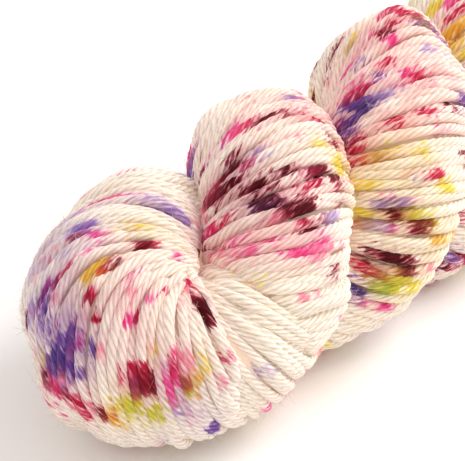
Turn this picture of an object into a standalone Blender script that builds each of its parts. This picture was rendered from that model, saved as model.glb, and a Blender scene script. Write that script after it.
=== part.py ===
"""Skein of yarn: a hank of hand-dyed wool twisted on itself and folded back into a two-strand rope.

World frame: metres, +Z up. The skein lies along X and rests on z = 0, with the origin under
the middle of its bounding box. The broad, loose fold is at -X.

One solid of the wound form: the outer surface of the two strands, without the single turns of yarn.
"""
import math

import bmesh
import bpy
import numpy as np
from mathutils import Vector

# ---------------------------------------------------------------- driving dimensions (metres, degrees)
PITCH = 0.106            # length in which the two strands go once round each other
TWIST_LENGTH = 0.193     # straight part between the two folds
STRAND_OFFSET = 0.0170   # distance of a strand's middle from the axis of the rope
STRAND_RADIUS = 0.0235   # outside radius of a strand
AXIS_HEIGHT = 0.0380     # height of the axis of the rope
START_ANGLE = 12.0       # direction of the upper strand where the near fold begins

NEAR_DEPTH = 0.0325      # how far the near fold reaches beyond the twisted part
NEAR_RATE = 0.2          # share of the twist that goes on inside the near fold
NEAR_SWELL = 0.0040      # extra radius at the tip of the near fold, where nothing squeezes it
NEAR_SWELL_RUN = 0.030   # run of that swelling along the strand
NEAR_DROP = 0.0075       # the near fold sinks until it lies on the table
NEAR_SIDE = 0.0010       # and leans a little towards -Y
NEAR_BLEND = 0.030       # the sinking is spread over this much of the twisted part

FAR_DEPTH = 0.0220       # the same set for the far fold
FAR_RATE = 0.5
FAR_SWELL = 0.0030
FAR_SWELL_RUN = 0.028
FAR_DROP = 0.0015
FAR_SIDE = -0.0010
FAR_BLEND = 0.030

FULL_LOBE_X = 0.078      # the upper strand is a little fuller here, measured from the near fold
FULL_LOBE_SWELL = 0.0015
FULL_LOBE_RUN = 0.035
SLIM_LOBE_X = 0.017      # and the other strand a little slimmer here
SLIM_LOBE_SWELL = -0.0010
SLIM_LOBE_RUN = 0.025

STATIONS = 150           # points along the closed middle line of the strand
ROUND_STEPS = 10         # steps in a quarter turn of the strand's outline
CELL = 0.0055            # size of the facets of the finished skin
SOFTEN_STEPS = 2         # rounds of smoothing that take the steps off the skin
LEVEL_SNAP = 0.0001      # corners this close to the table are set on it

WOOL_COLOUR = (0.90, 0.78, 0.70, 1.0)
WOOL_ROUGHNESS = 0.9
WOOL_METALLIC = 0.0


def clear_scene():
    """Start with no objects."""
    for thing in list(bpy.data.objects):
        bpy.data.objects.remove(thing, do_unlink=True)


def middle_line():
    """Closed middle line of the strand: near fold, one branch, far fold, the other branch."""
    fold = np.linspace(-math.pi / 2, math.pi / 2, 400)
    run = np.linspace(0.0, TWIST_LENGTH, 2000)[1:-1]
    x = np.concatenate([
        -NEAR_DEPTH * np.cos(fold),
        run,
        TWIST_LENGTH + FAR_DEPTH * np.cos(fold),
        run[::-1],
    ])
    offset = np.concatenate([
        STRAND_OFFSET * np.sin(fold),
        np.full(len(run), STRAND_OFFSET),
        -STRAND_OFFSET * np.sin(fold),
        np.full(len(run), -STRAND_OFFSET),
    ])
    return x, offset


def ease(amount):
    """Smooth step from 0 to 1."""
    return 0.5 - 0.5 * np.cos(math.pi * np.clip(amount, 0.0, 1.0))


def twist_angle(x):
    """Direction of the upper strand round the axis; it falls along +X, a left-handed lay."""
    turning = np.clip(x, 0.0, TWIST_LENGTH)
    turning = turning + NEAR_RATE * np.minimum(x, 0.0)
    turning = turning + FAR_RATE * np.maximum(x - TWIST_LENGTH, 0.0)
    return math.radians(START_ANGLE) - 2 * math.pi * turning / PITCH


def strand_stations():
    """Evenly spaced points on the closed middle line, with the strand's radius at each."""
    x, offset = middle_line()
    angle = twist_angle(x)
    near = ease((NEAR_BLEND - x) / (NEAR_BLEND + NEAR_DEPTH))
    far = ease((x - TWIST_LENGTH + FAR_BLEND) / (FAR_BLEND + FAR_DEPTH))
    y = offset * np.cos(angle) - NEAR_SIDE * near - FAR_SIDE * far
    z = AXIS_HEIGHT + offset * np.sin(angle) - NEAR_DROP * near - FAR_DROP * far
    line = np.stack([x, y, z], axis=1)
    closed = np.vstack([line, line[:1]])
    steps = np.linalg.norm(np.diff(closed, axis=0), axis=1)
    along = np.concatenate([[0.0], np.cumsum(steps)])
    total = along[-1]
    even = np.linspace(0.0, total, STATIONS, endpoint=False)
    points = np.stack([np.interp(even, along, closed[:, axis]) for axis in range(3)], axis=1)
    radius = np.full(STATIONS, STRAND_RADIUS)
    for place, swell, spread in (
        (along[np.argmin(x)], NEAR_SWELL, NEAR_SWELL_RUN),
        (along[np.argmax(x)], FAR_SWELL, FAR_SWELL_RUN),
        (along[np.argmax(x > FULL_LOBE_X)], FULL_LOBE_SWELL, FULL_LOBE_RUN),
        (along[len(x) - 1 - np.argmax(x[::-1] > SLIM_LOBE_X)], SLIM_LOBE_SWELL, SLIM_LOBE_RUN),
    ):
        away = np.abs((even - place + total / 2) % total - total / 2)
        radius = radius + swell * np.exp(-(away / spread) ** 2)
    return points, radius, total


def strand_curve(points, radius):
    """The strand as a closed curve with a round outline that swells at the folds."""
    curve = bpy.data.curves.new("strand_path", "CURVE")
    curve.dimensions = "3D"
    curve.bevel_depth = 1.0
    curve.bevel_resolution = ROUND_STEPS
    spline = curve.splines.new("POLY")
    spline.points.add(len(points) - 1)
    for knot, place, size in zip(spline.points, points, radius):
        knot.co = (*place, 1.0)
        knot.radius = size
    spline.use_cyclic_u = True
    return bpy.data.objects.new("strand_path", curve)


def evaluated_mesh(source, name):
    """Mesh of an object with its modifiers applied."""
    graph = bpy.context.evaluated_depsgraph_get()
    return bpy.data.meshes.new_from_object(source.evaluated_get(graph), depsgraph=graph).copy()


def flatten_underside(mesh):
    """Cut the skin level with the table and close the cuts, then turn every face outward."""
    shape = bmesh.new()
    shape.from_mesh(mesh)
    everything = shape.verts[:] + shape.edges[:] + shape.faces[:]
    bmesh.ops.bisect_plane(shape, geom=everything, dist=0.00005, plane_co=(0, 0, 0),
                           plane_no=(0, 0, -1), clear_outer=True)
    for vertex in shape.verts:
        if abs(vertex.co.z) < LEVEL_SNAP:
            vertex.co.z = 0.0
    rim = [edge for edge in shape.edges if edge.is_boundary]
    bmesh.ops.holes_fill(shape, edges=rim, sides=0)
    bmesh.ops.remove_doubles(shape, verts=shape.verts[:], dist=0.00005)
    bmesh.ops.dissolve_degenerate(shape, dist=0.00002, edges=shape.edges[:])
    bmesh.ops.triangulate(shape, faces=shape.faces[:])
    bmesh.ops.recalc_face_normals(shape, faces=shape.faces[:])
    if shape.calc_volume(signed=True) < 0:
        bmesh.ops.reverse_faces(shape, faces=shape.faces[:])
    shape.to_mesh(mesh)
    shape.free()


def centre_on_floor(mesh):
    """Put the origin under the middle of the bounding box, the flat underside on z = 0."""
    places = np.array([vertex.co[:] for vertex in mesh.vertices])
    low = places.min(axis=0)
    high = places.max(axis=0)
    shift = Vector((-(low[0] + high[0]) / 2, -(low[1] + high[1]) / 2, -low[2]))
    for vertex in mesh.vertices:
        vertex.co = vertex.co + shift
    return high - low


def wool_material():
    """Plain undyed wool; the dye is surface finish, not shape."""
    material = bpy.data.materials.new("wool")
    material.use_nodes = True
    shader = material.node_tree.nodes["Principled BSDF"]
    shader.inputs["Base Color"].default_value = WOOL_COLOUR
    shader.inputs["Roughness"].default_value = WOOL_ROUGHNESS
    shader.inputs["Metallic"].default_value = WOOL_METALLIC
    material.diffuse_color = WOOL_COLOUR
    return material


clear_scene()
finished = bpy.data.collections.new("skein_of_yarn")
guides = bpy.data.collections.new("guides")
bpy.context.scene.collection.children.link(finished)
bpy.context.scene.collection.children.link(guides)

stations, radii, strand_length = strand_stations()
path = strand_curve(stations, radii)
path.hide_render = True
path.display_type = "WIRE"
guides.objects.link(path)

rope = bpy.data.objects.new("rope_blank", evaluated_mesh(path, "rope_blank"))
rope.hide_render = True
rope.display_type = "WIRE"
guides.objects.link(rope)
skin = rope.modifiers.new("one_skin", "REMESH")
skin.mode = "VOXEL"
skin.voxel_size = CELL
soften = rope.modifiers.new("soften", "SMOOTH")
soften.factor = 0.5
soften.iterations = SOFTEN_STEPS

skein_mesh = evaluated_mesh(rope, "yarn_skein")
skein_mesh.name = "yarn_skein"
flatten_underside(skein_mesh)
size = centre_on_floor(skein_mesh)
skein_mesh.materials.clear()
skein_mesh.materials.append(wool_material())
skein = bpy.data.objects.new("yarn_skein", skein_mesh)
finished.objects.link(skein)

print("strand length, once round:", round(strand_length, 4))
print("skein size:", [round(float(side), 4) for side in size])
print("triangles:", len(skein_mesh.polygons))
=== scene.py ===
# %% [markdown]
# # A skein of hand-dyed yarn
#
# A skein starts as a hank: one long yarn wound round and round into a big ring. The ring is twisted until
# it is stiff, then folded in half, and its two halves wind round each other into a short thick rope.
# One could start from the outside and carve the lobes. We follow the maker instead, because then the
# lobes, the folds and the slant of every yarn come out by themselves: we lay out the middle line of the
# rope's two strands, find how fat each strand can be before it meets its neighbour, and then wind one
# yarn over that shape.

# %% Load the measured frame
from math import atan2, cos, pi, radians, sin, tan

import bmesh
import bpy
import numpy as np
from mathutils import Matrix, Vector


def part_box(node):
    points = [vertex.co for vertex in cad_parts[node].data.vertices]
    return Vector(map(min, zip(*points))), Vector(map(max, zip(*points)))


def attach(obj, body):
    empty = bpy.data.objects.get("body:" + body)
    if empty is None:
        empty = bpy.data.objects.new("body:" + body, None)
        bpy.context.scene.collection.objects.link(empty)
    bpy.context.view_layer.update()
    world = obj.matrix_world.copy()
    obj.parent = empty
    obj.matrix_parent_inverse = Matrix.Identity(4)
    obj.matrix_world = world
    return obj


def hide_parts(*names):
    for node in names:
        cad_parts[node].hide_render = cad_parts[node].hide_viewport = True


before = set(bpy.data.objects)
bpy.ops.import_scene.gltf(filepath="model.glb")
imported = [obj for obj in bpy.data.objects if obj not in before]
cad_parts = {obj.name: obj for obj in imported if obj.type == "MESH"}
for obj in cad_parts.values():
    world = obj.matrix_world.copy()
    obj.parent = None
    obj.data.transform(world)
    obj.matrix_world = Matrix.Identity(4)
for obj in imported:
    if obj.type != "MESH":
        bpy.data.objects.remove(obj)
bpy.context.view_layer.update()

box_low, box_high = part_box("yarn_skein")
print("skein box, mm:", [round(side * 1000, 1) for side in box_high - box_low])

# %% [markdown]
# ## Sizes of the rope
#
# These are the sizes a maker would measure on the skein: how far apart the turns of the rope are, how
# thick a strand is, and how thick the wool is. The two folded ends are a little fatter than the middle,
# because nothing squeezes them, and they sink until they lie on the table. The measured body holds the
# same shape, but its faces don't say which way the yarn runs, so we build the rope again from its sizes.

# %% Sizes in metres, angles in degrees
PITCH = 0.106  # one whole turn of the rope
TWIST_LENGTH = 0.193  # from one fold to the other
STRAND_OFFSET = 0.0170  # from the rope's axis to the middle of a strand
STRAND_RADIUS = 0.0235
AXIS_HEIGHT = 0.0380
START_ANGLE = 12.0
BLEND = 0.030  # how far before a fold the rope begins to sink into it

NEAR = {"depth": 0.0325, "rate": 0.2, "swell": 0.0040, "run": 0.030, "drop": 0.0075, "side": 0.0010}
FAR = {"depth": 0.0220, "rate": 0.5, "swell": 0.0030, "run": 0.028, "drop": 0.0015, "side": -0.0010}
FULL_LOBE = {"x": 0.078, "swell": 0.0015, "run": 0.035}
SLIM_LOBE = {"x": 0.017, "swell": -0.0010, "run": 0.025}

YARN = 0.0032
print("yarns across the rope:", round(4 * STRAND_OFFSET / YARN + 4, 1))

# %% [markdown]
# ## The middle line of the strand
#
# The strand is one closed loop: it runs up one side of the rope, round the far fold, back down the
# other side and round the near fold. It could be drawn by hand as a Bezier curve, but a formula keeps the
# two branches exactly half a turn apart. The angle falls as we go along +X, and that gives the
# left-handed lay.

# %% Closed middle line
def ease(amount):
    """A soft step from 0 to 1."""
    return 0.5 - 0.5 * np.cos(pi * np.clip(amount, 0.0, 1.0))


def middle_line():
    fold = np.linspace(-pi / 2, pi / 2, 400)
    run = np.linspace(0.0, TWIST_LENGTH, 2000)[1:-1]
    x = np.concatenate([-NEAR["depth"] * np.cos(fold), run,
                        TWIST_LENGTH + FAR["depth"] * np.cos(fold), run[::-1]])
    offset = np.concatenate([np.sin(fold), np.ones(len(run)), -np.sin(fold), -np.ones(len(run))])
    turning = np.clip(x, 0.0, TWIST_LENGTH) + NEAR["rate"] * np.minimum(x, 0.0)
    turning = turning + FAR["rate"] * np.maximum(x - TWIST_LENGTH, 0.0)
    angle = radians(START_ANGLE) - 2 * pi * turning / PITCH
    near = ease((BLEND - x) / (BLEND + NEAR["depth"]))
    far = ease((x - TWIST_LENGTH + BLEND) / (BLEND + FAR["depth"]))
    y = STRAND_OFFSET * offset * np.cos(angle) - NEAR["side"] * near - FAR["side"] * far
    z = STRAND_OFFSET * offset * np.sin(angle) - NEAR["drop"] * near - FAR["drop"] * far
    return np.stack([x, y, z + AXIS_HEIGHT], axis=1)


STATIONS = 760
raw_line = middle_line()
closed_line = np.vstack([raw_line, raw_line[:1]])
distance = np.concatenate([[0.0], np.cumsum(np.linalg.norm(np.diff(closed_line, axis=0), axis=1))])
LOOP = distance[-1]
station_at = np.arange(STATIONS) * LOOP / STATIONS
centre = np.stack([np.interp(station_at, distance, closed_line[:, k]) for k in range(3)], axis=1)
print("middle line, once round, m:", round(LOOP, 3))

# %% Strand radius, fatter at the folds
def swelling(tip, part):
    gap = np.abs((station_at - tip + LOOP / 2) % LOOP - LOOP / 2)
    return part["swell"] * np.exp(-(gap / part["run"]) ** 2)


near_tip = station_at[np.argmin(centre[:, 0])]
far_tip = station_at[np.argmax(centre[:, 0])]
full_at = distance[np.argmax(raw_line[:, 0] > FULL_LOBE["x"])]
slim_at = distance[len(raw_line) - 1 - np.argmax(raw_line[::-1, 0] > SLIM_LOBE["x"])]
radius = np.full(STATIONS, STRAND_RADIUS)
for tip, part in ((near_tip, NEAR), (far_tip, FAR), (full_at, FULL_LOBE), (slim_at, SLIM_LOBE)):
    radius = radius + swelling(tip, part)
print("strand radius, mm:", round(radius.min() * 1000, 1), "to", round(radius.max() * 1000, 1))

# %% Move the rope to the middle of the measured box
outline_middle = ((centre - radius[:, None]).min(axis=0) + (centre + radius[:, None]).max(axis=0)) / 2
shift = np.array([(box_low[0] + box_high[0]) / 2, (box_low[1] + box_high[1]) / 2, 0.0])
shift = shift - outline_middle * np.array([1.0, 1.0, 0.0])
centre = centre + shift
AXIS_Y = float(shift[1])
FOLD_X = float(shift[0])
print("start of the twisted part at x, mm:", round(FOLD_X * 1000, 1))

# %% [markdown]
# ## A frame that travels round the loop
#
# To wind yarn round the strand we need two directions across it at every station. A curve's own tilt
# would do, but it spins where the curve bends in space. So we carry one direction along without spinning
# it, and share the small mismatch left at the end over the whole loop, so that the last station meets
# the first.

# %% Travelling frame
def unit(v):
    return v / np.linalg.norm(v, axis=-1, keepdims=True)


tangent = unit(np.roll(centre, -1, axis=0) - np.roll(centre, 1, axis=0))
side_a = np.zeros_like(centre)
side_a[0] = unit(np.cross(tangent[0], [0.0, 0.0, 1.0]))
for k in range(1, STATIONS):
    carried = side_a[k - 1] - tangent[k] * np.dot(side_a[k - 1], tangent[k])
    side_a[k] = unit(carried)
side_b = np.cross(tangent, side_a)
last = side_a[-1] - tangent[0] * np.dot(side_a[-1], tangent[0])
mismatch = atan2(np.dot(last, side_b[0]), np.dot(last, side_a[0]))
twist = -mismatch * np.arange(STATIONS) / STATIONS
turned_a = side_a * np.cos(twist)[:, None] + side_b * np.sin(twist)[:, None]
side_b = side_b * np.cos(twist)[:, None] - side_a * np.sin(twist)[:, None]
side_a = turned_a
print("frame mismatch shared out, degrees:", round(np.degrees(mismatch), 1))

# %% [markdown]
# ## How far out the yarn can lie
#
# Where the two strands press on each other they flatten. A soft-body simulation could find that shape,
# slowly. There is a simpler rule: a point belongs to the piece of strand whose middle it is nearest to.
# So for each station and each direction we search for the largest distance at which that still holds.
# The table top is a second limit.

# %% Reach of the strand's surface
DIRECTIONS = 60
SEARCH_STEPS = 11
SLACK = 0.0004  # how far past the shared plane a point may lie and still count as its own strand's
direction_at = np.arange(DIRECTIONS) * 2 * pi / DIRECTIONS
outward = (np.cos(direction_at)[None, :, None] * side_a[:, None, :]
           + np.sin(direction_at)[None, :, None] * side_b[:, None, :])


def nearest_middle(points):
    """Distance to the nearest middle, measured in strand radii."""
    probe = centre[::3]
    size = radius[::3] ** 2
    best = np.empty(len(points))
    for k in range(0, len(points), 6000):
        part = points[k:k + 6000]
        square = (part ** 2).sum(1)[:, None] + (probe ** 2).sum(1)[None] - 2 * part @ probe.T
        best[k:k + 6000] = np.sqrt(np.maximum((square / size).min(axis=1), 0.0))
    return best


def reach(floor):
    low = np.zeros((STATIONS, DIRECTIONS))
    high = np.repeat(radius[:, None], DIRECTIONS, axis=1)
    for _ in range(SEARCH_STEPS):
        trial = (low + high) / 2
        points = centre[:, None, :] + outward * trial[..., None]
        share = nearest_middle(points.reshape(-1, 3)).reshape(trial.shape)
        own = share * radius[:, None] >= trial - SLACK
        own &= points[..., 2] >= floor
        low = np.where(own, trial, low)
        high = np.where(own, high, trial)
    return low


def soften_round_loop(grid, width=9):
    weights = np.hanning(width + 2)[1:-1]
    weights = weights / weights.sum()
    total = np.zeros_like(grid)
    for k, weight in enumerate(weights):
        total = total + weight * np.roll(grid, k - width // 2, axis=0)
    return total


free_reach = soften_round_loop(reach(-1.0))
floor_reach = soften_round_loop(reach(0.0))
print("tightest reach, mm:", round(free_reach.min() * 1000, 1))

# %% [markdown]
# ## Where things are on the skein
#
# Dye was splashed on by hand and hands have squeezed the wool, so we need a way to say where such a place
# is. Plain X, Y and Z would do, but they are hard to read off a round thing. Two numbers are easier: how
# far over the surface the place lies from the tip of the near fold, and which way round the rope it is,
# counted from the top towards the -Y side.

# %% Skein coordinates
CAP = 0.036  # radius of the rounded near end
AXIS_TIP = float(box_low[0]) + CAP


def skein_coordinates(points):
    """Distance over the surface from the near tip, angle from the top, distance from the axis."""
    past = points[:, 0] - AXIS_TIP
    sink = NEAR["drop"] * ease((BLEND - (points[:, 0] - FOLD_X)) / (BLEND + NEAR["depth"]))
    rise = points[:, 2] - (AXIS_HEIGHT - sink)
    across = AXIS_Y - points[:, 1]
    arm = np.hypot(rise, across)
    polar = np.arctan2(arm, -past)
    along = np.where(past < 0, CAP * polar, CAP * pi / 2 + past)
    return along, np.arctan2(across, rise), arm


def way_round(round_at, turn, arm):
    """Distance round the rope from the angle `turn`, given in degrees."""
    return ((round_at - radians(turn) + pi) % (2 * pi) - pi) * arm


print("near end of the axis at x, mm:", round(AXIS_TIP * 1000, 1))

# %% [markdown]
# ## The ridge beside the near fold
#
# Where the near fold comes round and meets the next lobe, its yarns stand up in a ridge and those of
# the neighbour come out from under it. A real second hump could be added to the strand, but the ridge is
# only as high as half a yarn. So we add it as a small step, up on one side and down on the other.

# %% Ridge
RIDGE_ROUND = (10, 22, 36, 52, 74, 100, 125)  # degrees
RIDGE_ALONG = (72, 68, 60, 54, 50, 52, 54)  # mm
RIDGE_UP = 1.3
RIDGE_DOWN = 2.4


def ridge_lift(points):
    along, round_at, _ = skein_coordinates(points)
    turn = np.degrees(round_at)
    past = along * 1000 - np.interp(turn, RIDGE_ROUND, RIDGE_ALONG)
    side = ease(past / 1.6 + 0.5)
    up = RIDGE_UP * np.exp(-(past / 7.0) ** 2) * (1 - side)
    down = RIDGE_DOWN * np.exp(-(past / 8.0) ** 2) * side
    window = ease((turn - 18) / 14) * ease((122 - turn) / 25)
    return (up - down) * window / 1000


print("ridge step, mm:", RIDGE_UP + RIDGE_DOWN)

# %% [markdown]
# ## Squeezed places
#
# No hank is twisted perfectly evenly: some lobes are pressed flatter and some stand prouder. A sculpting
# brush would do this by eye. We write the same thing down as a few soft dents, because numbers can be
# read again and changed. Everything near a dent moves together towards the middle of the skein, so yarns
# that touch stay together.

# %% Squeezes
PRESS_DEPTH = 0.034  # the middle of the skein keeps its place, and from here out all moves
SQUEEZES = (
    # along mm, round deg, size mm, pressed in mm
    (150, -32, 22, 9.0),
    (160, -65, 22, 6.0),
    (143, -16, 12, 4.0),
    (174, 0, 15, -5.0),
    (104, -32, 16, 4.5),
    (126, -8, 9, -1.5),
    (44, 124, 22, 3.5),
    (60, -45, 12, 1.0),
)


def press(points):
    along, round_at, arm = skein_coordinates(points)
    total = np.zeros(len(points))
    for away, turn, size, pressed in SQUEEZES:
        dv = way_round(round_at, turn, arm)
        total += pressed / 1000 * np.exp(-((along - away / 1000) ** 2 + dv ** 2) / (size / 1000) ** 2)
    total = total * ease(arm / PRESS_DEPTH)
    inward = np.stack([np.zeros(len(points)), np.sin(round_at), -np.cos(round_at)], axis=1)
    return points + inward * total[:, None]


print("squeezed places:", len(SQUEEZES))

# %% [markdown]
# ## Winding the yarn
#
# One yarn goes round the loop many times, just as on a real reel. Each lap lies beside the last one,
# because the number of turns it makes round the strand is not whole. Copies of one strand set side by
# side would be quicker, but they look like corrugated card. Here a slow wander moves the yarn a little
# sideways and a little up and down, as hand-wound wool does, and soft lumps run through all laps alike.

# %% Helpers for slow wander
def wander(distance, shortest, longest, seed, waves=7):
    random = np.random.default_rng(seed)
    total = np.zeros_like(distance)
    for _ in range(waves):
        wavelength = random.uniform(shortest, longest)
        total = total + np.sin(2 * pi * distance / wavelength + random.uniform(0, 2 * pi))
    return total / np.sqrt(waves / 2)


def lumps(points, size, seed, waves=9):
    random = np.random.default_rng(seed)
    total = np.zeros(len(points))
    for _ in range(waves):
        way = unit(random.normal(size=3))
        wavelength = size * random.uniform(0.7, 1.5)
        total = total + np.sin(points @ way * 2 * pi / wavelength + random.uniform(0, 6.28))
    return total / np.sqrt(waves / 2)


print("wander at the start of a yarn:", wander(np.array([0.0, 0.01]), 0.05, 0.16, 11).round(2))

# %% Helpers that read between the stations
def look_up(grid, station, direction):
    row = np.floor(station).astype(int)
    column = np.floor(direction).astype(int)
    a = station - row
    b = direction - column
    row_next = (row + 1) % STATIONS
    column_next = (column + 1) % DIRECTIONS
    row = row % STATIONS
    column = column % DIRECTIONS
    first = grid[row, column] * (1 - b) + grid[row, column_next] * b
    second = grid[row_next, column] * (1 - b) + grid[row_next, column_next] * b
    return first * (1 - a) + second * a


def along_loop(rows, station):
    row = np.floor(station).astype(int)
    a = (station - row)[:, None]
    return rows[row % STATIONS] * (1 - a) + rows[(row + 1) % STATIONS] * a


# %% Lay the laps on the strand
WRAPS = 39
TURNS = 14 + 20 / WRAPS
LAP_POINTS = 2600
lap = np.arange(WRAPS * LAP_POINTS) / LAP_POINTS
station = (lap % 1.0) * STATIONS
middle = along_loop(centre, station)
limit = along_loop(radius[:, None], station)[:, 0]


def lay(psi):
    """Way out of the strand, distance out, room beside the yarn, and how deep it is hidden."""
    direction = (psi % (2 * pi)) / (2 * pi) * DIRECTIONS
    out = unit(along_loop(side_a, station) * np.cos(psi)[:, None]
               + along_loop(side_b, station) * np.sin(psi)[:, None])
    arm = look_up(floor_reach, station, direction) - YARN / 2
    ahead = unit(np.gradient(middle + out * arm[:, None], axis=0))
    around = unit(np.cross(along_loop(tangent, station), out))
    spacing = arm * 2 * pi / WRAPS * np.linalg.norm(np.cross(around, ahead), axis=1)
    return out, arm, spacing, limit - look_up(free_reach, station, direction)


print("laps:", WRAPS, "turns round the strand in each:", round(TURNS, 3))

# %% Which laps give way
GOLDEN = 0.618034  # steps of this size never bunch up
SEAM = 0.03  # the last part of a lap, where it takes on the next lap's place


def place_in_row():
    """How readily a lap gives way where there is no room for all: 0 stays on top, 1 sinks first."""
    lead = round((TURNS % 1.0) * WRAPS)
    order = (np.floor(lap).astype(int) * lead) % WRAPS
    later = (np.floor(lap + 1).astype(int) * lead) % WRAPS
    rank = (order * GOLDEN) % 1.0
    rank_later = (later * GOLDEN) % 1.0
    near_seam = ease((lap % 1.0 - (1 - SEAM)) / SEAM)
    return rank * (1 - near_seam) + rank_later * near_seam


# %% Wind the top layer
RING_STEP = 0.00136  # distance between two rings of the swept yarn
SINK = 0.0023  # how deep a lap sinks when it gives way
ROOM = 0.86  # share of its own thickness that a squeezed yarn needs
SIDEWAYS = 0.40
UP_DOWN = 0.00040
LUMP = 0.0006
HIGHEST = 0.0016


def wind(seed):
    rough = lap * LOOP * 3.0
    psi = 2 * pi * TURNS * lap
    spacing = lay(psi)[2]
    freedom = np.clip(1.25 - spacing / YARN, 0.12, 1.0)
    psi = psi + freedom * SIDEWAYS * 2 * pi / WRAPS * wander(rough, 0.05, 0.16, seed)
    out, arm, spacing, hidden = lay(psi)
    crowding = place_in_row() - spacing / (YARN * ROOM)
    give_way = ease(crowding / 0.12 + 0.5)
    lift = UP_DOWN * wander(rough, 0.03, 0.12, seed + 1)
    lift = lift + LUMP * lumps(middle + out * arm[:, None], 0.03, 5)
    lift = lift + ridge_lift(middle + out * arm[:, None])
    arm = arm + np.minimum(lift, HIGHEST) - SINK * give_way
    places = press(middle + out * arm[:, None])
    places[:, 2] = np.maximum(places[:, 2], YARN * 0.5)
    run = np.concatenate([[0.0], np.cumsum(np.linalg.norm(np.diff(places, axis=0), axis=1))])
    even = np.arange(0.0, run[-1], RING_STEP)

    def evenly(values):
        return np.interp(even, run, values)

    places = np.stack([evenly(places[:, k]) for k in range(3)], axis=1)
    out = unit(np.stack([evenly(out[:, k]) for k in range(3)], axis=1))
    spread = np.clip(spacing / YARN, 1.0, 1.2)
    return {"places": places, "out": out, "run": even, "hidden": evenly(hidden),
            "crowding": evenly(crowding), "spread": evenly(spread)}


top_layer = wind(11)
print("yarn in the top layer, m:", round(top_layer["run"][-1], 1))

# %% [markdown]
# ## The dyes
#
# Speckled wool is undyed cream with drops of strong colour. Each splash colours neighbouring yarns
# but every yarn takes it a little differently, so the edges are ragged. A pattern in the material alone
# would run straight over the gaps between yarns. We work the dye out along the yarn instead and store it
# there. Dyes are see-through: where two overlap they multiply and get darker.

# %% Dye colours
CREAM = (0.96, 0.865, 0.765)
DYES = {
    "magenta": (0.84, 0.06, 0.32),
    "pink": (0.93, 0.34, 0.50),
    "blush": (0.95, 0.72, 0.74),
    "crimson": (0.50, 0.014, 0.055),
    "burgundy": (0.080, 0.003, 0.009),
    "purple": (0.17, 0.08, 0.42),
    "navy": (0.06, 0.035, 0.20),
    "lavender": (0.50, 0.41, 0.80),
    "yellow": (0.86, 0.74, 0.12),
    "lime": (0.66, 0.68, 0.08),
    "gold": (0.80, 0.42, 0.05),
    "green": (0.20, 0.30, 0.06),
}
print("dyes:", len(DYES))

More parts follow.
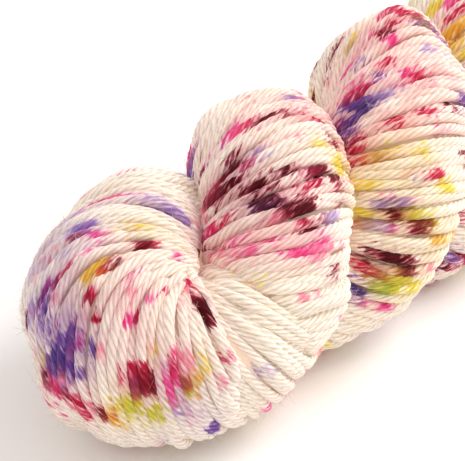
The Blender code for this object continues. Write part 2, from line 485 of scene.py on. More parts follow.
# %% Splashes and washes
SPLASHES = (
    # along mm, round deg, size mm, stretch, dye, strength
    (61, -36, 2.2, 3.5, "magenta", 0.8), (63, -38, 1.6, 3.0, "crimson", 0.7),
    (53, -46, 3.0, 2.5, "lavender", 0.8), (46, -28, 2.8, 1.6, "lavender", 0.9),
    (47, -29, 1.8, 1.6, "purple", 0.8), (45, -21, 1.8, 1.8, "magenta", 0.8),
    (42, -13, 1.7, 3.0, "magenta", 0.7), (51, 0, 2.0, 1.5, "burgundy", 0.9),
    (52, 3, 2.2, 1.8, "crimson", 0.6), (57, -7, 2.6, 2.5, "yellow", 0.45),
    (68, -15, 2.6, 3.5, "lavender", 0.6), (71, -6, 1.4, 3.0, "purple", 0.35),
    (32, -4, 2.0, 2.4, "gold", 0.6), (33, -5, 2.6, 1.8, "yellow", 0.7),
    (25, -32, 2.2, 2.2, "purple", 0.9), (23, -36, 1.4, 1.8, "navy", 0.7),
    (28, -24, 1.9, 2.4, "crimson", 0.7), (26, 3, 1.5, 1.5, "crimson", 0.8),
    (23, 8, 1.5, 1.8, "burgundy", 0.6), (15, 0, 2.4, 2.2, "purple", 0.85),
    (9, -20, 3.0, 3.0, "purple", 0.9), (6, -32, 2.0, 2.2, "navy", 0.8),
    (16, -38, 2.4, 2.5, "purple", 0.7), (4, 20, 2.2, 2.5, "purple", 0.6),
    (13, 28, 1.8, 2.4, "purple", 0.6), (10, 10, 1.6, 2.0, "navy", 0.5),
    (22, -52, 2.0, 2.6, "lavender", 0.8), (27, 35, 1.8, 1.8, "magenta", 0.6),
    (33, 22, 1.6, 1.8, "pink", 0.7), (21, 76, 2.1, 2.2, "crimson", 0.9),
    (25, 82, 2.0, 1.8, "burgundy", 0.8), (24, 79, 2.2, 1.6, "crimson", 0.9),
    (29, 64, 1.6, 2.4, "yellow", 0.9), (31, 83, 3.0, 2.2, "magenta", 0.75),
    (33, 74, 1.6, 2.4, "crimson", 0.6), (36, 75, 2.2, 2.2, "pink", 0.8),
    (42, 76, 1.8, 1.8, "yellow", 1.0), (40, 82, 1.6, 1.8, "gold", 0.7), (36, 89, 2.2, 1.8, "lime", 0.8),
    (20, 101, 3.6, 1.5, "lime", 0.8), (27, 108, 3.6, 1.5, "lime", 0.75),
    (17, 118, 2.4, 2.0, "gold", 0.8), (13, 122, 1.6, 1.8, "burgundy", 0.7),
    (49, 55, 2.3, 1.5, "burgundy", 0.95), (48, 57, 1.5, 1.5, "burgundy", 0.8),
    (51, 41, 1.6, 2.2, "crimson", 0.75), (44, 48, 1.3, 2.2, "pink", 0.6),
    (41, 34, 1.2, 1.6, "crimson", 0.5), (45, 88, 1.8, 2.2, "pink", 0.7),
    (49, 79, 1.3, 1.8, "crimson", 0.45), (34, 103, 2.2, 2.2, "lavender", 0.6),
    (39, 108, 2.0, 2.0, "pink", 0.5), (8, 150, 2.2, 2.5, "crimson", 0.7),
    (5, -130, 2.4, 2.5, "magenta", 0.6), (12, 128, 2.0, 2.0, "pink", 0.8),
    (10, -72, 2.0, 2.5, "yellow", 0.35), (9, -110, 1.6, 2.0, "burgundy", 0.5),
    (36, -42, 2.2, 3.0, "pink", 0.5), (44, -52, 1.6, 3.0, "magenta", 0.5),
    (38, 2, 1.2, 2.4, "burgundy", 0.5), (97, -7, 2.2, 1.8, "magenta", 0.9),
    (93, -12, 2.0, 1.8, "purple", 0.8), (99, -3, 1.6, 2.0, "pink", 0.8),
    (96, -24, 1.2, 2.4, "magenta", 0.4), (93, -28, 1.2, 2.5, "burgundy", 0.4),
    (120, -2, 2.2, 2.0, "lavender", 0.9), (121, -1, 1.4, 2.0, "purple", 0.8),
    (127, -1, 1.6, 2.6, "pink", 0.8), (130, 4, 1.5, 2.0, "crimson", 0.6),
    (105, 3, 1.9, 2.0, "burgundy", 0.9), (101, -1, 1.5, 2.2, "crimson", 0.7),
    (109, 9, 1.6, 2.6, "burgundy", 0.8), (113, 13, 1.3, 2.2, "burgundy", 0.8),
    (117, 17, 1.3, 2.2, "crimson", 0.8), (115, 8, 3.0, 2.5, "pink", 0.4),
    (87, 9, 2.2, 2.0, "burgundy", 0.95), (85, 5, 1.6, 2.0, "crimson", 0.7),
    (93, 14, 2.2, 1.8, "lavender", 0.8), (90, 6, 1.4, 2.2, "burgundy", 0.5),
    (83, 14, 2.1, 2.2, "burgundy", 0.95), (86, 24, 2.0, 2.2, "burgundy", 0.9),
    (84, 31, 2.3, 1.9, "burgundy", 1.0), (82, 35, 2.2, 1.8, "navy", 0.7),
    (83, 34, 2.4, 1.7, "burgundy", 0.9), (88, 45, 2.1, 2.2, "burgundy", 0.95),
    (85, 42, 1.5, 1.8, "burgundy", 0.8), (93, 38, 1.8, 2.4, "crimson", 0.8),
    (94, 30, 1.5, 2.6, "burgundy", 0.8), (101, 38, 1.9, 2.0, "burgundy", 0.9),
    (97, 41, 1.5, 2.0, "crimson", 0.7), (107, 46, 1.9, 1.8, "burgundy", 0.8),
    (104, 48, 1.6, 2.0, "crimson", 0.6), (115, 29, 1.8, 1.8, "burgundy", 0.95),
    (107, 29, 2.0, 1.6, "yellow", 0.7), (112, 38, 3.4, 1.4, "yellow", 0.9),
    (116, 40, 2.6, 1.5, "lime", 0.6), (86, 49, 1.8, 1.8, "crimson", 0.8),
    (87, 54, 1.8, 1.6, "burgundy", 0.8), (87, 63, 3.6, 1.8, "pink", 0.8),
    (82, 60, 1.8, 2.4, "magenta", 0.9), (88, 60, 1.8, 2.2, "magenta", 0.8),
    (78, 55, 1.6, 2.4, "magenta", 0.6), (73, 43, 1.7, 2.0, "magenta", 0.75),
    (70, 46, 2.6, 2.6, "pink", 0.35), (71, 19, 2.0, 1.6, "burgundy", 0.6),
    (75, 25, 1.2, 3.0, "crimson", 0.7), (65, 32, 1.2, 2.4, "pink", 0.9),
    (90, 77, 1.8, 1.4, "burgundy", 0.8), (78, 77, 1.2, 1.6, "pink", 0.7),
    (83, 80, 1.2, 1.6, "pink", 0.6), (96, 55, 2.2, 1.6, "lavender", 0.8),
    (82, 3, 2.2, 1.6, "pink", 0.7), (103, 22, 1.3, 2.0, "pink", 0.7),
    (61, 96, 1.8, 2.0, "lavender", 0.5), (57, 90, 1.2, 1.8, "pink", 0.5),
    (68, 58, 2.2, 3.0, "yellow", 0.18), (166, 0, 2.2, 3.6, "crimson", 0.75),
    (160, -4, 1.8, 2.4, "magenta", 0.6), (173, 2, 1.8, 2.4, "crimson", 0.7),
    (200, 0, 2.8, 1.8, "magenta", 0.85), (196, 6, 2.0, 2.0, "crimson", 0.8),
    (190, 10, 2.8, 1.8, "gold", 0.8), (186, 14, 2.2, 2.0, "yellow", 0.8),
    (150, 0, 1.6, 2.6, "purple", 0.7), (142, 10, 1.9, 1.8, "magenta", 0.9),
    (140, 14, 1.8, 1.8, "crimson", 0.8), (137, 17, 2.2, 1.8, "purple", 0.9),
    (137, 23, 2.4, 1.8, "navy", 0.8), (143, 25, 2.4, 1.8, "lavender", 0.9),
    (147, 16, 1.4, 2.2, "purple", 0.7), (132, 22, 2.2, 1.8, "purple", 0.85),
    (127, 25, 2.4, 1.6, "purple", 0.7), (130, 14, 1.8, 1.8, "crimson", 0.6),
    (128, 33, 1.9, 2.0, "crimson", 0.85), (123, 39, 1.8, 2.0, "crimson", 0.8),
    (151, 14, 1.8, 1.7, "crimson", 0.85), (154, 28, 2.2, 2.2, "crimson", 0.9),
    (152, 25, 1.6, 1.8, "magenta", 0.7), (162, 33, 1.7, 2.5, "crimson", 0.6),
    (138, 38, 1.8, 2.6, "crimson", 0.7), (146, 42, 1.5, 2.6, "crimson", 0.7),
    (156, 44, 1.4, 2.0, "burgundy", 0.6), (131, 46, 2.4, 1.7, "lime", 0.75),
    (128, 48, 1.6, 2.0, "gold", 0.7), (137, 55, 2.2, 1.8, "lime", 0.75),
    (140, 70, 1.8, 1.8, "yellow", 0.9), (121, 55, 2.2, 2.0, "yellow", 0.7),
    (124, 70, 2.0, 2.6, "lavender", 0.8), (124, 68, 1.2, 2.2, "purple", 0.6),
    (117, 70, 2.2, 2.0, "yellow", 0.9), (127, 76, 2.2, 2.2, "lime", 0.85),
    (132, 83, 2.2, 1.8, "lime", 0.75), (114, 68, 1.6, 1.8, "gold", 0.7),
    (124, 74, 1.7, 1.8, "burgundy", 0.85), (129, 83, 2.0, 1.8, "burgundy", 0.75),
    (114, 74, 1.7, 1.8, "crimson", 0.8), (119, 77, 1.6, 1.8, "lavender", 0.8),
    (136, 92, 1.8, 2.6, "gold", 0.7), (145, 97, 2.2, 2.2, "gold", 0.8),
    (120, 94, 2.4, 1.9, "burgundy", 0.95), (116, 95, 1.6, 2.0, "burgundy", 0.8),
    (126, 101, 1.9, 1.9, "burgundy", 0.8), (112, 96, 1.8, 1.8, "crimson", 0.8),
    (120, 106, 3.8, 1.8, "lime", 0.95), (127, 112, 3.0, 1.6, "yellow", 0.9),
    (117, 110, 1.7, 2.0, "green", 0.8), (109, 106, 2.6, 1.5, "purple", 0.95),
    (111, 110, 2.0, 1.6, "navy", 0.7), (118, 118, 2.0, 2.2, "magenta", 0.7),
    (133, 104, 2.0, 1.8, "pink", 0.6),
)

WASHES = (
    # along mm, round deg, size mm, dye, strength
    (45, 35, 20, "blush", 0.25), (25, 20, 16, "blush", 0.4), (112, 5, 18, "blush", 0.7),
    (78, 48, 10, "blush", 0.7), (160, 10, 26, "blush", 0.8), (140, 40, 14, "blush", 0.5),
    (40, -40, 18, "lavender", 0.30), (15, -30, 16, "lavender", 0.30), (35, 100, 14, "lavender", 0.25),
    (128, 55, 16, "yellow", 0.16), (125, 90, 18, "yellow", 0.20), (56, -8, 10, "yellow", 0.12),
    (72, 66, 16, "yellow", 0.05),
)
print("splashes placed by hand:", len(SPLASHES), "washes:", len(WASHES))

# %% Flecks, and splashes on the far side
SKEIN_REACH = 330  # mm over the surface from tip to tip, with a little to spare
REDS = ("pink", "magenta", "crimson", "burgundy", "lavender", "purple")
MANY = ("yellow", "lime", "gold", "lavender", "purple", "magenta", "crimson", "burgundy")


def more_flecks(count, seed):
    """Small drops everywhere, and whole splashes on the side that the list above leaves out."""
    random = np.random.default_rng(seed)
    made = []
    for _ in range(count):
        away = random.uniform(0, SKEIN_REACH)
        turn = random.uniform(-180, 180)
        listed = away < 32 or (-50 < turn < 120 and away < 160)
        plain = 45 < away < 80 and 50 < turn < 120
        if not listed and random.random() < 0.62:
            dye = MANY[random.integers(len(MANY))]
            size = random.uniform(1.4, 3.0)
            stretch = random.uniform(1.6, 2.6)
            made.append((away, turn, size, stretch, dye, random.uniform(0.6, 0.95)))
        elif not plain:
            dye = REDS[min(int(random.exponential(1.6)), len(REDS) - 1)]
            size = random.uniform(0.45, 0.9)
            stretch = random.uniform(2.5, 6.0)
            made.append((away, turn, size, stretch, dye, random.uniform(0.35, 0.8)))
    return tuple(made)


all_splashes = SPLASHES + more_flecks(850, 5)
print("splashes and flecks in all:", len(all_splashes))

# %% Soak the yarn
EDGE = 0.92  # where a splash ends, as a share of its size
EDGE_POWER = 2.4  # higher gives a sharper edge
RAGGED_EDGE = 0.5
HALO = 0.035  # how strongly a pale stain spreads round a splash
HALO_REACH = 1.9
LITTLE = 0.001  # keeps the average of the dyes defined where there is none


def yarn_direction(along, round_at, arm):
    slide_u = np.gradient(along)
    slide_v = np.gradient(np.unwrap(round_at)) * arm
    length = np.maximum(np.hypot(slide_u, slide_v), 1e-9)
    return slide_u / length, slide_v / length


def dye_yarn(layer, seed):
    """The colour of the dye, how far it has soaked in, and the pale wash over everything."""
    along, round_at, arm = skein_coordinates(layer["places"])
    count = len(along)
    run = layer["run"]
    ragged = 0.22 * wander(run, 0.004, 0.012, seed, waves=12) + 0.42 * wander(run, 0.014, 0.050, seed + 1)
    slide_u, slide_v = yarn_direction(along, round_at, arm)
    tint = np.tile(np.log(np.array(DYES["blush"])) * LITTLE, (count, 1))
    total = np.full(count, LITTLE)
    dry = np.ones(count)
    bleed = np.zeros((count, 3))
    for away, turn, size, stretch, dye, strength in all_splashes:
        du = along - away / 1000
        dv = way_round(round_at, turn, arm)
        with_yarn = du * slide_u + dv * slide_v
        across_yarn = dv * slide_u - du * slide_v
        gap = np.hypot(with_yarn / stretch, across_yarn) / (size / 1000)
        soaked = strength * np.exp(-(np.maximum(gap + RAGGED_EDGE * ragged, 0.0) / EDGE) ** EDGE_POWER)
        halo = HALO * strength * np.exp(-(gap / HALO_REACH) ** 2) * (1 + 0.8 * ragged)
        tint += soaked[:, None] * np.log(np.array(DYES[dye]))
        bleed += np.maximum(halo, 0.0)[:, None] * np.log(np.array(DYES[dye]))
        total += soaked
        dry *= 1 - soaked
    wash = np.exp(bleed)
    for away, turn, size, dye, strength in WASHES:
        du = along - away / 1000
        dv = way_round(round_at, turn, arm)
        damp = strength * np.exp(-(np.hypot(du, dv) / (size / 1000)) ** 2) * (1 + 0.8 * ragged)
        wash = wash * (1 - np.clip(damp, 0.0, 1.0)[:, None] * (1 - np.array(DYES[dye])))
    return {"dye": np.exp(tint / total[:, None]), "soak": 1 - dry, "wash": wash}


top_layer.update(dye_yarn(top_layer, 41))
print("share of the yarn that is soaked:", round(float((top_layer["soak"] > 0.5).mean()), 2))

# %% [markdown]
# ## From path to plied yarn
#
# The yarn is six plies twisted together, so its cross-section is a flower with six petals. Six thin
# tubes wound round each other would need six times the faces. Sweeping one flower along the path, and
# turning it steadily as it goes, gives the plies their spiral with far fewer. A Geometry Nodes tree does
# the sweep; the path is a chain of edges that carries the dye with it.

# %% Tree helpers
def new_tree(name, inputs):
    tree = bpy.data.node_groups.new(name, "GeometryNodeTree")
    tree.interface.new_socket("Geometry", in_out="INPUT", socket_type="NodeSocketGeometry")
    tree.interface.new_socket("Geometry", in_out="OUTPUT", socket_type="NodeSocketGeometry")
    for label, kind in inputs:
        tree.interface.new_socket(label, in_out="INPUT", socket_type=kind)
    return tree, tree.nodes.new("NodeGroupInput"), tree.nodes.new("NodeGroupOutput")


def maths(tree, operation, first, second=None):
    node = tree.nodes.new("ShaderNodeMath")
    node.operation = operation
    for socket, value in zip(node.inputs, (first, second)):
        if value is None:
            continue
        if isinstance(value, (int, float)):
            socket.default_value = value
        else:
            tree.links.new(value, socket)
    return node.outputs[0]


def stored(tree, label, kind, geometry, value):
    node = tree.nodes.new("GeometryNodeStoreNamedAttribute")
    node.data_type = kind
    node.inputs["Name"].default_value = label
    tree.links.new(geometry, node.inputs["Geometry"])
    tree.links.new(value, node.inputs["Value"])
    return node.outputs[0]


# %% Cross-section with petals
PETALS = 6
PETAL_ROUNDNESS = 0.7


def petal_height(tree):
    """0 in the groove between two plies, 1 on the crest of a ply."""
    around = tree.nodes.new("GeometryNodeSplineParameter")
    wave = maths(tree, "SINE", maths(tree, "MULTIPLY", around.outputs["Factor"], PETALS * pi))
    return maths(tree, "POWER", maths(tree, "ABSOLUTE", wave), PETAL_ROUNDNESS)


def flower(tree, points_round, groove):
    """A circle one unit across with its grooves pressed in; it knows its plies and its own places."""
    circle = tree.nodes.new("GeometryNodeCurvePrimitiveCircle")
    circle.inputs["Radius"].default_value = 0.5
    tree.links.new(points_round, circle.inputs["Resolution"])
    place = tree.nodes.new("GeometryNodeInputPosition")
    rim = maths(tree, "SUBTRACT", 1.0, groove)
    rim = maths(tree, "ADD", rim, maths(tree, "MULTIPLY", petal_height(tree), groove))
    scaled = tree.nodes.new("ShaderNodeVectorMath")
    scaled.operation = "SCALE"
    tree.links.new(place.outputs[0], scaled.inputs[0])
    tree.links.new(rim, scaled.inputs["Scale"])
    petals = tree.nodes.new("GeometryNodeSetPosition")
    tree.links.new(circle.outputs[0], petals.inputs["Geometry"])
    tree.links.new(scaled.outputs[0], petals.inputs["Position"])
    crest = stored(tree, "ply", "FLOAT", petals.outputs[0], petal_height(tree))
    return stored(tree, "ring", "FLOAT_VECTOR", crest, place.outputs[0])


# %% Yarn tree
def yarn_tree():
    tree, start, end = new_tree("plied_yarn", (("Ply Lay", "NodeSocketFloat"),
                                               ("Groove", "NodeSocketFloat"),
                                               ("Points Round", "NodeSocketInt"),
                                               ("Material", "NodeSocketMaterial")))
    link = tree.links.new
    path = tree.nodes.new("GeometryNodeMeshToCurve")
    link(start.outputs["Geometry"], path.inputs[0])
    spline = tree.nodes.new("GeometryNodeSplineParameter")
    turns = maths(tree, "DIVIDE", spline.outputs["Length"], start.outputs["Ply Lay"])
    tilt = tree.nodes.new("GeometryNodeSetCurveTilt")
    link(path.outputs[0], tilt.inputs["Curve"])
    link(maths(tree, "MULTIPLY", turns, -2 * pi), tilt.inputs["Tilt"])
    thick = tree.nodes.new("GeometryNodeInputNamedAttribute")
    thick.data_type = "FLOAT"
    thick.inputs["Name"].default_value = "thick"
    section = flower(tree, start.outputs["Points Round"], start.outputs["Groove"])
    sweep = tree.nodes.new("GeometryNodeCurveToMesh")
    sweep.inputs["Fill Caps"].default_value = True
    link(tilt.outputs[0], sweep.inputs["Curve"])
    link(section, sweep.inputs["Profile Curve"])
    link(thick.outputs[0], sweep.inputs["Scale"])
    smooth = tree.nodes.new("GeometryNodeSetShadeSmooth")
    link(sweep.outputs[0], smooth.inputs[0])
    real = tree.nodes.new("GeometryNodeRealizeInstances")
    link(smooth.outputs[0], real.inputs[0])
    paint = tree.nodes.new("GeometryNodeSetMaterial")
    link(real.outputs[0], paint.inputs[0])
    link(start.outputs["Material"], paint.inputs["Material"])
    link(paint.outputs[0], end.inputs[0])
    return tree


plied_yarn = yarn_tree()
print("nodes in the yarn tree:", len(plied_yarn.nodes))

# %% [markdown]
# ## The wool's finish
#
# Wool is dull, a little see-through and streaked by its fibres. A weave image would be flat and would
# stretch. The material reads what the yarn carries instead: where round the plies a point is, how far
# along the yarn, and how much dye has soaked in. Noise in those coordinates breaks each splash into
# ragged streaks that stop at the grooves, as dye does on real plies. The grooves between plies are
# darkened with painted shade, and the wool glows faintly in its own colour as painted fill light.

# %% Shader helpers
def attribute(tree, label):
    node = tree.nodes.new("ShaderNodeAttribute")
    node.attribute_name = label
    return node


def remap(tree, value, low, high, to_low, to_high):
    node = tree.nodes.new("ShaderNodeMapRange")
    node.interpolation_type = "SMOOTHSTEP"
    for label, amount in (("From Min", low), ("From Max", high), ("To Min", to_low), ("To Max", to_high)):
        node.inputs[label].default_value = amount
    tree.links.new(value, node.inputs["Value"])
    return node.outputs["Result"]


def multiplied(tree, amount, first, second):
    node = tree.nodes.new("ShaderNodeMix")
    node.data_type = "RGBA"
    node.blend_type = "MULTIPLY"
    colour_a, colour_b = node.inputs[6], node.inputs[7]
    for socket, value in ((node.inputs["Factor"], amount), (colour_a, first), (colour_b, second)):
        if isinstance(value, bpy.types.NodeSocket):
            tree.links.new(value, socket)
        else:
            socket.default_value = value
    return node.outputs[2]


def ply_noise(tree, across, along):
    """Noise that lies in the yarn: `across` for its cross-section, `along` for its length."""
    split = tree.nodes.new("ShaderNodeSeparateXYZ")
    tree.links.new(attribute(tree, "ring").outputs["Vector"], split.inputs[0])
    place = tree.nodes.new("ShaderNodeCombineXYZ")
    run = attribute(tree, "run").outputs["Fac"]
    tree.links.new(maths(tree, "MULTIPLY", split.outputs["X"], across), place.inputs["X"])
    tree.links.new(maths(tree, "MULTIPLY", split.outputs["Y"], across), place.inputs["Y"])
    tree.links.new(maths(tree, "MULTIPLY", run, along), place.inputs["Z"])
    node = tree.nodes.new("ShaderNodeTexNoise")
    node.inputs["Scale"].default_value = 1.0
    node.inputs["Detail"].default_value = 2
    tree.links.new(place.outputs[0], node.inputs["Vector"])
    return node.outputs["Fac"]


# %% Dyed colour with painted groove shade, and soft bumps
def dye_and_groove_shade_colour(tree, cream, painted_groove_shade, fibres):
    blotch = ply_noise(tree, 3.6, 320.0)
    soak = attribute(tree, "soak").outputs["Fac"]
    uneven = maths(tree, "MULTIPLY", maths(tree, "SUBTRACT", blotch, 0.5), 2.6)
    uneven = maths(tree, "ADD", uneven, maths(tree, "SUBTRACT", fibres, 0.5))
    near_dye = remap(tree, soak, 0.0, 0.15, 0.0, 0.75)
    ready = maths(tree, "ADD", soak, maths(tree, "MULTIPLY", uneven, near_dye))
    amount = remap(tree, ready, 0.14, 0.95, 0.0, 1.0)
    channels = tree.nodes.new("ShaderNodeSeparateColor")
    tree.links.new(attribute(tree, "dye").outputs["Color"], channels.inputs[0])
    dyed = tree.nodes.new("ShaderNodeCombineColor")
    for colour in ("Red", "Green", "Blue"):
        tree.links.new(maths(tree, "POWER", channels.outputs[colour], amount), dyed.inputs[colour])
    # Painted shade: the colour is darkened towards a tan in the grooves between plies.
    groove = remap(tree, attribute(tree, "ply").outputs["Fac"], 0.0, 0.9, 1.0, 0.0)
    base = multiplied(tree, 1.0, (*cream, 1), dyed.outputs[0])
    base = multiplied(tree, 1.0, base, attribute(tree, "wash").outputs["Color"])
    base = multiplied(tree, groove, base, (*painted_groove_shade, 1))
    streak = tree.nodes.new("ShaderNodeVectorMath")
    streak.operation = "SCALE"
    tree.links.new(base, streak.inputs[0])
    tree.links.new(remap(tree, fibres, 0.25, 0.75, 0.82, 1.10), streak.inputs["Scale"])
    return streak.outputs[0]


def bumped(tree, height, depth, below=None):
    node = tree.nodes.new("ShaderNodeBump")
    node.inputs["Strength"].default_value = 0.8
    node.inputs["Distance"].default_value = depth
    tree.links.new(height, node.inputs["Height"])
    if below is not None:
        tree.links.new(below, node.inputs["Normal"])
    return node.outputs[0]


# %% Wool material
def wool_material(name, cream, painted_groove_shade):
    material = bpy.data.materials.new(name)
    material.use_nodes = True
    tree = material.node_tree
    shader = tree.nodes["Principled BSDF"]
    fibres = ply_noise(tree, 12.0, 550.0)
    colour = dye_and_groove_shade_colour(tree, cream, painted_groove_shade, fibres)
    tree.links.new(colour, shader.inputs["Base Color"])
    # Painted fill light: the wool glows faintly in its own colour, which lightens its shadows.
    tree.links.new(colour, shader.inputs["Emission Color"])
    shader.inputs["Emission Strength"].default_value = 0.13
    plies = maths(tree, "MULTIPLY", attribute(tree, "ply").outputs["Fac"], pi / 2)
    rounded = bumped(tree, maths(tree, "SINE", plies), 0.00025)
    tree.links.new(bumped(tree, fibres, 0.0003, rounded), shader.inputs["Normal"])
    shader.inputs["Roughness"].default_value = 0.9
    shader.inputs["Specular IOR Level"].default_value = 0.1
    shader.inputs["Sheen Weight"].default_value = 0.06
    shader.inputs["Sheen Roughness"].default_value = 0.5
    shader.inputs["Subsurface Weight"].default_value = 0.25
    shader.inputs["Subsurface Radius"].default_value = (1.0, 0.9, 0.8)
    shader.inputs["Subsurface Scale"].default_value = 0.0016
    return material


# The last colour is the tan of the painted shade in the grooves between plies.
wool = wool_material("speckled_wool", CREAM, (0.82, 0.76, 0.69))
# The inner wool stands in for the hidden turns, but its warmer tan is painted shade for the gaps between
# yarns.
inner_shade_wool = wool_material("inner_gap_shade_wool", (0.98, 0.79, 0.64), (1.0, 1.0, 1.0))
print("nodes in the wool:", len(wool.node_tree.nodes))

# %% [markdown]
# ## Making the pieces
#
# Where the two strands press together, and where a lap has sunk deep, nobody can see the yarn. It could
# all be kept, but it would double the faces for nothing. So those stretches are left out and the yarn
# becomes many shorter lengths with closed ends. They are shared out over a few pieces, so that no piece
# gets too heavy.

# %% Stretches of yarn that show
DEEPEST = 0.0030  # yarn hidden deeper than this between the strands is left out
MOST_CROWDED = 0.32  # and so is a lap that has sunk more surely than this
SHORTEST = 5  # rings


def visible_runs(layer):
    keep = (layer["hidden"] < DEEPEST) & (layer["crowding"] < MOST_CROWDED)
    edges = np.flatnonzero(np.diff(np.concatenate([[0], keep.astype(int), [0]])))
    return [(a, b) for a, b in zip(edges[::2], edges[1::2]) if b - a > SHORTEST]


top_runs = visible_runs(top_layer)
print("stretches of yarn that show:", len(top_runs))

# %% Chains of edges that carry the dye
def path_mesh(name, layer, runs):
    spots = np.concatenate([np.arange(a, b) for a, b in runs])
    ends = np.cumsum([b - a for a, b in runs])
    chain = np.arange(len(spots) - 1)
    chain = chain[~np.isin(chain + 1, ends)]
    mesh = bpy.data.meshes.new(name)
    mesh.vertices.add(len(spots))
    mesh.vertices.foreach_set("co", layer["places"][spots].ravel())
    mesh.edges.add(len(chain))
    mesh.edges.foreach_set("vertices", np.stack([chain, chain + 1], axis=1).ravel())
    for label in ("dye", "wash"):
        colour = mesh.attributes.new(label, "FLOAT_COLOR", "POINT")
        with_alpha = np.column_stack([layer[label][spots], np.ones(len(spots))])
        colour.data.foreach_set("color", with_alpha.ravel())
    for label in ("soak", "run", "thick"):
        number = mesh.attributes.new(label, "FLOAT", "POINT")
        number.data.foreach_set("value", layer[label][spots])
    return mesh


# %% Turn a chain into a finished piece
def set_inputs(modifier, values):
    for item in modifier.node_group.interface.items_tree:
        if item.item_type == "SOCKET" and item.in_out == "INPUT" and item.name in values:
            modifier[item.identifier] = values[item.name]


def baked(thing, name):
    """The evaluated shape as a plain mesh on a new object; the old object and its modifier go."""
    graph = bpy.context.evaluated_depsgraph_get()
    mesh = bpy.data.meshes.new_from_object(thing.evaluated_get(graph), depsgraph=graph)
    bpy.data.objects.remove(thing, do_unlink=True)
    mesh.name = name
    made = bpy.data.objects.new(name, mesh)
    bpy.context.scene.collection.objects.link(made)
    return made


def yarn_piece(name, layer, runs, points_round, groove, material):
    source = bpy.data.objects.new(name + "_path", path_mesh(name, layer, runs))
    bpy.context.scene.collection.objects.link(source)
    modifier = source.modifiers.new("sweep", "NODES")
    modifier.node_group = plied_yarn
    set_inputs(modifier, {"Ply Lay": PLY_LAY, "Groove": groove,
                          "Points Round": points_round, "Material": material})
    made = baked(source, name)
    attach(made, "root")
    return made


def triangles(thing):
    return sum(len(face.vertices) - 2 for face in thing.data.polygons)


# %% Top layer
PIECES = 5
PLY_LAY = 0.0180  # length of yarn in which a ply goes once round
GROOVE = 0.13  # depth of the grooves, as a share of the yarn's radius
top_layer["thick"] = YARN * top_layer["spread"] * (1 + 0.07 * wander(top_layer["run"], 0.02, 0.07, 3))
share = sum(b - a for a, b in top_runs) / PIECES
groups = [[] for _ in range(PIECES)]
used = 0
for a, b in top_runs:
    groups[min(int(used / share), PIECES - 1)].append((a, b))
    used += b - a
top_pieces = []
for number, runs in enumerate(groups, 1):
    top_pieces.append(yarn_piece(f"yarn_turns_{number}", top_layer, runs, 2 * PETALS, GROOVE, wool))
print("top pieces, triangles:", [triangles(piece) for piece in top_pieces])

# %% [markdown]
# ## Fuzz
#
# Wool is hairy. Short fine hairs leave the yarn at a shallow angle and curl away, and they are what
# makes the outline soft. Blender's hair curves would be lighter, but they are lost when the skein is
# exported. So each hair is a small closed three-sided sliver, swept by the same tree, with the dye of
# the yarn it grows from.

# %% Fuzz hairs
HAIR_POINTS = 5
HAIR_THICK = 0.00011
HAIRS = 7400


def fuzz(name, count, seed):
    random = np.random.default_rng(seed)
    spots = np.concatenate([np.arange(a + 2, b - 2) for a, b in top_runs])
    spots = spots[top_layer["crowding"][spots] < 0.0]
    root = random.choice(spots, count)
    ahead = unit(top_layer["places"][root + 1] - top_layer["places"][root - 1])
    out = top_layer["out"][root]
    across = np.cross(ahead, out)
    lean = random.uniform(-1.1, 1.1, (count, 1))
    forward = random.choice([-1, 1], (count, 1))
    grow = ahead * forward * random.uniform(0.2, 1.3, (count, 1)) + across * lean
    grow = unit(grow + out * random.uniform(0.25, 1.0, (count, 1)))
    curl = unit(random.normal(size=(count, 3))) * random.uniform(0.3, 1.2, (count, 1))
    length = random.uniform(0.0014, 0.0046, (count, 1))
    start = top_layer["places"][root] + unit(out + across * lean * 0.6) * YARN * 0.44
    steps = np.linspace(0.0, 1.0, HAIR_POINTS)
    places = [start + length * (grow * t + curl * t * t * 0.7 - out * t * t * 0.15) for t in steps]
    places = np.stack(places, axis=1)
    places[..., 2] = np.maximum(places[..., 2], 0.0001)
    hairs = {"places": places.reshape(-1, 3)}
    hairs["run"] = np.repeat(random.uniform(0, 9, count), HAIR_POINTS)
    hairs["thick"] = np.tile(HAIR_THICK * (1 - 0.7 * steps), count)
    for label in ("dye", "soak", "wash"):
        hairs[label] = np.repeat(top_layer[label][root], HAIR_POINTS, axis=0)
    runs = [(k * HAIR_POINTS, (k + 1) * HAIR_POINTS) for k in range(count)]
    return yarn_piece(name, hairs, runs, 3, 0.0, wool)


fuzz_hairs = fuzz("fuzz_hairs", HAIRS, 77)
print("fuzz, triangles:", triangles(fuzz_hairs))

# %% [markdown]
# ## The inside
#
# Below the modelled layer a real hank has many more turns. Winding them all would cost a lot and show
# nothing. A plain inner shape, a little smaller than the surface, stands in for them, so that no light
# comes through the small gaps. Its wool is a warmer tan than the cream: painted shade, the colour of
# the shaded gaps between yarns. It also takes the place of the measured body.

# %% Inner wool
INNER_DEPTH = 0.0042
INNER_LEAST = 0.004
INNER_AROUND = 20
INNER_EVERY = 8


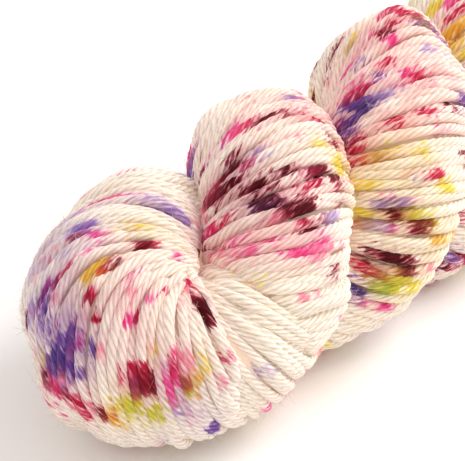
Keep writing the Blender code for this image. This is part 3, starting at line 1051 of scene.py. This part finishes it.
def inner_wool():
    rows = np.arange(0, STATIONS, INNER_EVERY)
    columns = np.arange(INNER_AROUND) * DIRECTIONS // INNER_AROUND
    reach_in = np.maximum(floor_reach[np.ix_(rows, columns)] - INNER_DEPTH, INNER_LEAST)
    points = centre[rows][:, None, :] + outward[np.ix_(rows, columns)] * reach_in[..., None]
    points = press(points.reshape(-1, 3)).reshape(points.shape)
    shape = bmesh.new()
    rings = [[shape.verts.new(p) for p in ring] for ring in points]
    for k, ring in enumerate(rings):
        after = rings[(k + 1) % len(rings)]
        for j in range(INNER_AROUND):
            i = (j + 1) % INNER_AROUND
            shape.faces.new((ring[j], ring[i], after[i], after[j]))
    bmesh.ops.recalc_face_normals(shape, faces=shape.faces[:])
    mesh = bpy.data.meshes.new("inner_wool")
    shape.to_mesh(mesh)
    shape.free()
    for face in mesh.polygons:
        face.use_smooth = True
    for label in ("dye", "wash"):
        colour = mesh.attributes.new(label, "FLOAT_COLOR", "POINT")
        colour.data.foreach_set("color", np.ones(4 * len(mesh.vertices)))
    mesh.materials.append(inner_shade_wool)
    made = bpy.data.objects.new("inner_wool", mesh)
    bpy.context.scene.collection.objects.link(made)
    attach(made, "root")
    return made


core = inner_wool()
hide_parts("yarn_skein")
print("inner wool, triangles:", triangles(core))

# %% [markdown]
# ## Table, light and camera
#
# A white table under soft, even light, with a broad lamp high on the right that leaves a faint warm
# shadow on the left. Many small lamps could do the same, but one bright world and one lamp keep the
# shadows soft and simple. The camera looks along the rope from above its near fold, from a metre away.

# %% Table
def table_top():
    mesh = bpy.data.meshes.new("table_top")
    mesh.from_pydata([(-3, -3, 0), (3, -3, 0), (3, 3, 0), (-3, 3, 0)], [], [(0, 1, 2, 3)])
    material = bpy.data.materials.new("white_table")
    material.use_nodes = True
    shader = material.node_tree.nodes["Principled BSDF"]
    shader.inputs["Base Color"].default_value = (0.93, 0.92, 0.91, 1)
    shader.inputs["Roughness"].default_value = 0.9
    shader.inputs["Specular IOR Level"].default_value = 0.1
    mesh.materials.append(material)
    made = bpy.data.objects.new("table_top", mesh)
    bpy.context.scene.collection.objects.link(made)
    return made


table = table_top()
print("table, m:", list(table.dimensions)[:2])

# %% Light
world = bpy.data.worlds.new("studio")
bpy.context.scene.world = world
world.use_nodes = True
world.node_tree.nodes["Background"].inputs["Color"].default_value = (1.0, 0.985, 0.97, 1)
world.node_tree.nodes["Background"].inputs["Strength"].default_value = 0.90
bpy.context.scene.view_settings.view_transform = "Standard"


def lamp(name, place, aim, size, power, colour):
    data = bpy.data.lights.new(name, "AREA")
    data.size = size
    data.energy = power
    data.color = colour
    made = bpy.data.objects.new(name, data)
    made.location = place
    made.rotation_euler = (Vector(aim) - Vector(place)).to_track_quat("-Z", "Y").to_euler()
    bpy.context.scene.collection.objects.link(made)
    return made


top_light = lamp("top_light", (0.46, -0.34, 0.68), (-0.05, 0, 0.03), 0.5, 6.0, (1.0, 0.98, 0.96))
print("lamp, W:", top_light.data.energy)

# %% Camera
CAMERA_TILT = radians(30)
ROPE_SLOPE = radians(32)  # how steeply the rope climbs across the view
CAMERA_DISTANCE = 1.0
VIEW_WIDTH = 0.129167  # metres seen from side to side at the point that the camera looks at
AIM_RIGHT = 0.008472  # metres from the start of the twist to that point
AIM_UP = 0.010694
SENSOR = 36
heading = atan2(tan(ROPE_SLOPE), sin(CAMERA_TILT))
right = Vector((cos(heading), -sin(heading), 0))
away = Vector((sin(heading), cos(heading), 0))
back = Vector((0, 0, 1)) * sin(CAMERA_TILT) - away * cos(CAMERA_TILT)
up = back.cross(right)
aim = Vector((FOLD_X, AXIS_Y, AXIS_HEIGHT)) + right * AIM_RIGHT + up * AIM_UP
facing = Matrix((right, up, back)).transposed().to_4x4()
camera_data = bpy.data.cameras.new("camera")
camera_data.lens = SENSOR * CAMERA_DISTANCE / VIEW_WIDTH
camera_data.clip_start = 0.05
camera = bpy.data.objects.new("camera", camera_data)
camera.matrix_world = Matrix.Translation(aim + back * CAMERA_DISTANCE) @ facing
bpy.context.scene.collection.objects.link(camera)
bpy.context.scene.camera = camera
print("lens, mm:", round(camera_data.lens, 1))
